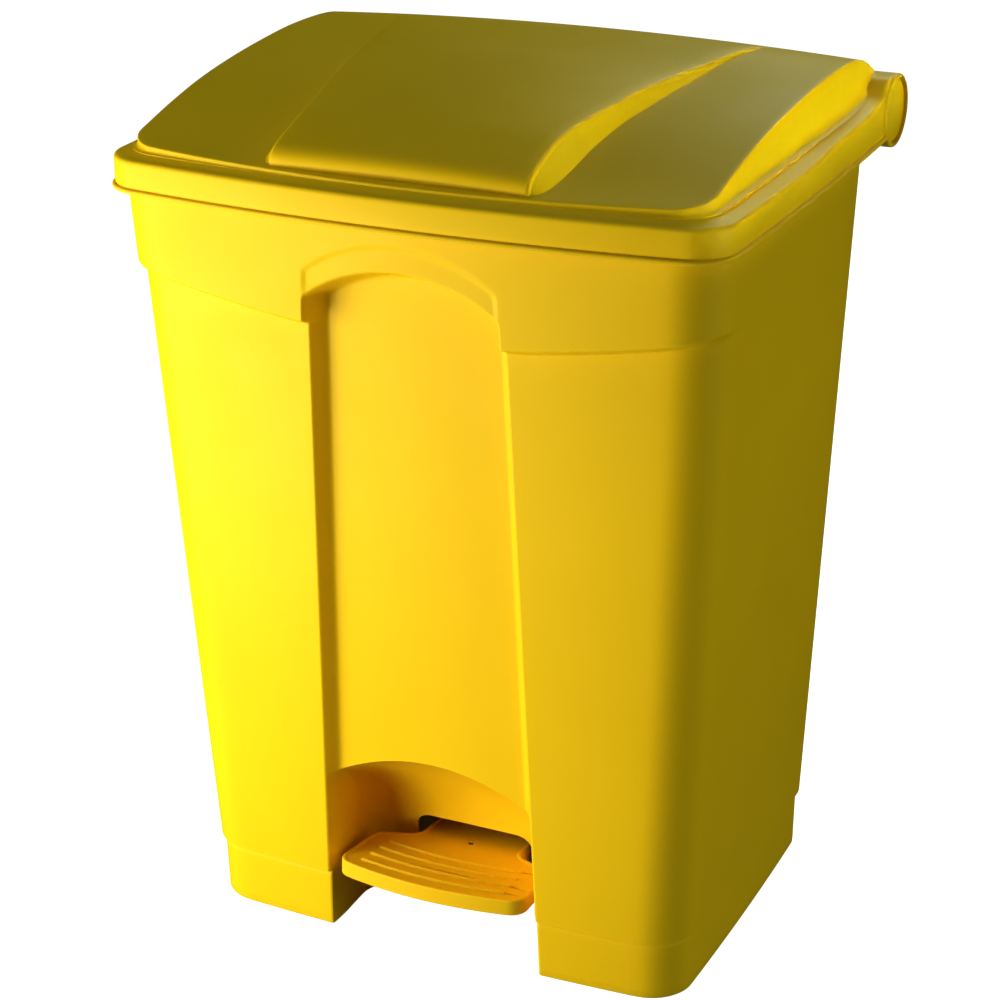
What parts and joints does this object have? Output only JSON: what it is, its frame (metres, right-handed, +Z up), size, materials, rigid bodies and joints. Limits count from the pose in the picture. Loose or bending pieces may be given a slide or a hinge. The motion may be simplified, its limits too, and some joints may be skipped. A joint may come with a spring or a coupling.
{
  "type": "pedal bin",
  "caption": "Tall tapered pedal bin with a crowned hinged lid, an arched front recess and a ribbed foot pedal that lifts the lid through a lever and a rod.",
  "frame": {"origin": "centre of the overall box on the ground, under the bin", "axes": "front faces -Y, +X to the right of a person standing in front of it, +Z up"},
  "size_m": [0.5, 0.4261, 0.694],
  "materials": {
    "tub_plastic": "satin moulded polypropylene with a fine texture",
    "lid_plastic": "satin moulded polypropylene with a fine texture",
    "pedal_plastic": "satin moulded polypropylene with raised grip ribs",
    "dark_plastic": "matt moulded nylon",
    "rubber": "soft matt rubber",
    "lever_steel": "zinc plated pressed sheet",
    "bright_steel": "bright zinc plated"
  },
  "bodies": {
    "tub_body": {"tub": "tub_plastic", "hinge_rod": "bright_steel", "pedal_axle": "bright_steel", "axle_bearing_left": "dark_plastic", "axle_bearing_right": "dark_plastic", "bearing_screw_left_front": "bright_steel", "bearing_screw_left_rear": "bright_steel", "bearing_screw_right_front": "bright_steel", "bearing_screw_right_rear": "bright_steel", "axle_clip_left": "bright_steel", "axle_clip_right": "bright_steel", "rod_guide_upper": "dark_plastic", "rod_guide_lower": "dark_plastic", "guide_screw_upper_left": "bright_steel", "guide_screw_upper_right": "bright_steel", "guide_screw_lower_left": "bright_steel", "guide_screw_lower_right": "bright_steel"},
    "lid_body": {"lid": "lid_plastic", "hinge_cap_left": "lid_plastic", "hinge_cap_right": "lid_plastic", "lid_lift_pin": "bright_steel", "lift_pin_clip_left": "bright_steel", "lift_pin_clip_right": "bright_steel", "lid_buffer_left": "rubber", "lid_buffer_right": "rubber"},
    "pedal_body": {"pedal": "pedal_plastic", "pedal_lever": "lever_steel", "lever_screw_front": "bright_steel", "lever_screw_rear": "bright_steel", "lever_pin": "bright_steel", "lever_pin_clip_left": "bright_steel", "lever_pin_clip_right": "bright_steel"},
    "lift_rod_body": {"lift_rod": "bright_steel", "rod_head": "dark_plastic", "rod_foot": "dark_plastic"}
  },
  "joints": [
    {"name": "lid_hinge", "type": "hinge", "parent": "tub_body", "child": "lid_body", "pos_m": [0, 0.184, 0.632], "axis": [-1, 0, 0], "range_deg": [0, 75]},
    {"name": "pedal_pivot", "type": "hinge", "parent": "tub_body", "child": "pedal_body", "pos_m": [0, 0.007, 0.045], "axis": [1, 0, 0], "range_deg": [0, 14.05]},
    {"name": "lift_rod_slide", "type": "slide", "parent": "tub_body", "child": "lift_rod_body", "axis": [0, 0, 1], "range_m": [0, 0.0367]}
  ],
  "couplings": [
    {"joint": "pedal_pivot", "follows": "lid_hinge", "ratio": 0.18667},
    {"joint": "lift_rod_slide", "follows": "lid_hinge", "m_per_rad": 0.027907}
  ]
}
